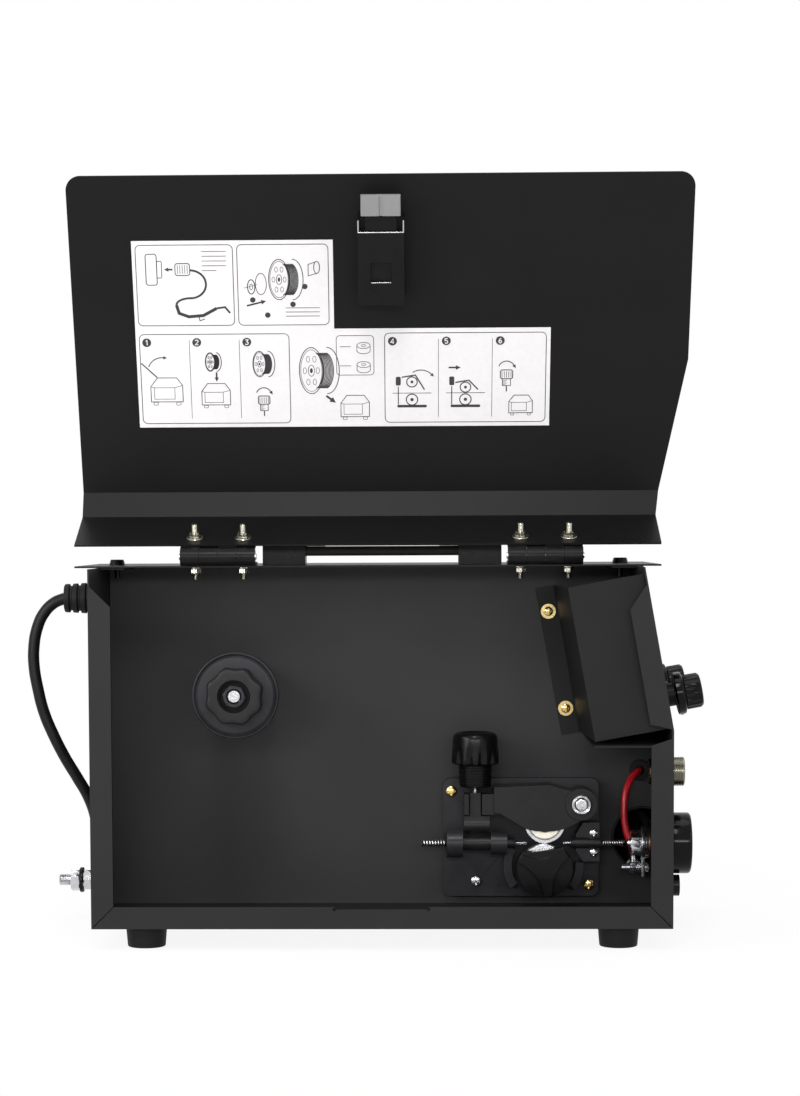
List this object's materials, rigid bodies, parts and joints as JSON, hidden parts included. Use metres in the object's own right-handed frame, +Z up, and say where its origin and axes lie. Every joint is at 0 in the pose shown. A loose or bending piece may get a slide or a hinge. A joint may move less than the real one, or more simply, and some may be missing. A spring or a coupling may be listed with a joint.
{
  "type": "wire feeder",
  "caption": "Portable MIG welding wire feeder: sheet-metal case with a swing-up lid, a spool hub, a roller wire drive, a torch socket, control knobs and a coiled control cable.",
  "frame": {"origin": "middle of the outer box in X and Y without the free cable, at the level of the underside of the rubber feet", "axes": "+Z up, -Y towards the open side with the lid, +X towards the torch socket and the knobs"},
  "size_m": [0.5724, 0.43, 0.6255],
  "materials": {
    "case_paint": "satin fine-texture charcoal powder coat",
    "lid_paint": "satin black powder coat",
    "label": "printed self-adhesive film",
    "black_steel": "black oxide",
    "zinc": "zinc plated",
    "steel": "machined",
    "brass": "yellow zinc or brass",
    "black_plastic": "moulded, lightly grained",
    "grey_plastic": "moulded",
    "latch_grey": "cast, painted grey",
    "rubber": "matt",
    "cable": "matt sheath",
    "board": "solder mask",
    "alu": "cast",
    "liner": "smooth"
  },
  "bodies": {
    "case": {"base_panel": "case_paint", "rear_panel": "case_paint", "front_panel": "case_paint", "divider": "case_paint", "fixed_cover": "lid_paint", "cover_screws": "black_steel", "rubber_feet": "rubber", "foot_screws": "zinc", "handle_end_caps": "black_plastic", "handle_strap": "rubber", "hinge_fixed_leaves": "black_steel", "hinge_pins": "zinc", "hinge_fixed_bolts": "zinc", "control_shield": "case_paint", "brass_screws": "brass", "control_board": "board", "potentiometers": "grey_plastic", "remote_socket": "zinc", "torch_insulators": "black_plastic", "torch_core": "brass", "torch_fasteners": "zinc", "blanking_plug": "black_plastic", "power_stud": "brass", "stud_insulators": "black_plastic", "power_leads": "cable", "grommets": "rubber", "gas_valve": "brass", "cable_gland": "rubber", "control_cable": "cable", "cable_coil": "cable", "cable_plug": "black_plastic", "feed_base_plate": "black_plastic", "steel_screws": "zinc", "feed_motor": "black_steel", "feed_gearbox": "alu", "arm_pivot_screw": "zinc", "wire_guides": "brass", "wire_liners": "liner", "spool_spindle": "steel"},
    "lid": {"hinge_lid_leaves": "black_steel", "hinge_lid_bolts": "zinc", "lid_panel": "lid_paint", "instruction_label": "label", "latch_body": "black_plastic"},
    "latch": {"latch_bolt": "latch_grey"},
    "spool_hub": {"spool_hub": "black_plastic"},
    "retainer": {"retaining_disc": "black_plastic"},
    "retaining_nut": {"retaining_nut": "black_plastic"},
    "drive": {"drive_shaft": "steel", "drive_roller": "steel"},
    "roller_cap": {"drive_roller_cap": "black_plastic"},
    "pressure_arm": {"pressure_arm": "black_plastic", "roller_pin": "steel"},
    "pressure_roller": {"pressure_roller": "steel"},
    "tension_lever": {"tension_lever": "black_plastic", "tension_rod": "steel", "tension_barrel": "black_plastic"},
    "tension_knob": {"tension_knob": "black_plastic"},
    "voltage_knob": {"voltage_knob": "black_plastic"},
    "current_knob": {"current_knob": "black_plastic"}
  },
  "joints": [
    {"name": "lid_hinge", "type": "hinge", "parent": "case", "child": "lid", "pos_m": [0.008, -0.0695, 0.318], "axis": [1, 0, 0], "range_deg": [0, 158.4]},
    {"name": "latch_slide", "type": "slide", "parent": "lid", "child": "latch", "axis": [0, 0.3681, -0.9298], "range_m": [0, 0.012]},
    {"name": "spool_hub_spin", "type": "hinge", "parent": "case", "child": "spool_hub", "pos_m": [-0.111, -0.0475, 0.2055], "axis": [0, 1, 0], "continuous": true},
    {"name": "retainer_slide", "type": "slide", "parent": "case", "child": "retainer", "axis": [0, -1, 0], "range_m": [0, 0.15]},
    {"name": "retaining_nut_turn", "type": "hinge", "parent": "retainer", "child": "retaining_nut", "pos_m": [-0.111, -0.1175, 0.2055], "axis": [0, 1, 0], "range_deg": [0, 720]},
    {"name": "drive_roller_spin", "type": "hinge", "parent": "case", "child": "drive", "pos_m": [0.144, -0.0255, 0.05485], "axis": [0, 1, 0], "continuous": true},
    {"name": "roller_cap_turn", "type": "hinge", "parent": "drive", "child": "roller_cap", "pos_m": [0.144, -0.0375, 0.05485], "axis": [0, 1, 0], "range_deg": [0, 60]},
    {"name": "tension_lever_swing", "type": "hinge", "parent": "case", "child": "tension_lever", "pos_m": [0.086, -0.0255, 0.0904], "axis": [1, 0, 0], "range_deg": [0, 95]},
    {"name": "pressure_arm_lift", "type": "hinge", "parent": "case", "child": "pressure_arm", "pos_m": [0.1747, -0.0255, 0.109], "axis": [0, 1, 0], "range_deg": [0, 7.6]},
    {"name": "pressure_roller_spin", "type": "hinge", "parent": "pressure_arm", "child": "pressure_roller", "pos_m": [0.1445, -0.0255, 0.09265], "axis": [0, 1, 0], "continuous": true},
    {"name": "tension_knob_turn", "type": "hinge", "parent": "tension_lever", "child": "tension_knob", "pos_m": [0.086, -0.0255, 0.148], "axis": [0, 0, 1], "range_deg": [0, 720]},
    {"name": "voltage_knob_turn", "type": "hinge", "parent": "case", "child": "voltage_knob", "pos_m": [0.23852, -0.0895, 0.203], "axis": [0.9843, 0, 0.1766], "range_deg": [-135, 135]},
    {"name": "current_knob_turn", "type": "hinge", "parent": "case", "child": "current_knob", "pos_m": [0.23852, 0.0525, 0.203], "axis": [0.9843, 0, 0.1766], "range_deg": [-135, 135]}
  ],
  "couplings": [
    {"joint": "pressure_roller_spin", "follows": "drive_roller_spin", "ratio": -1.1429},
    {"joint": "pressure_arm_lift", "follows": "tension_lever_swing", "ratio": 0.08}
  ]
}
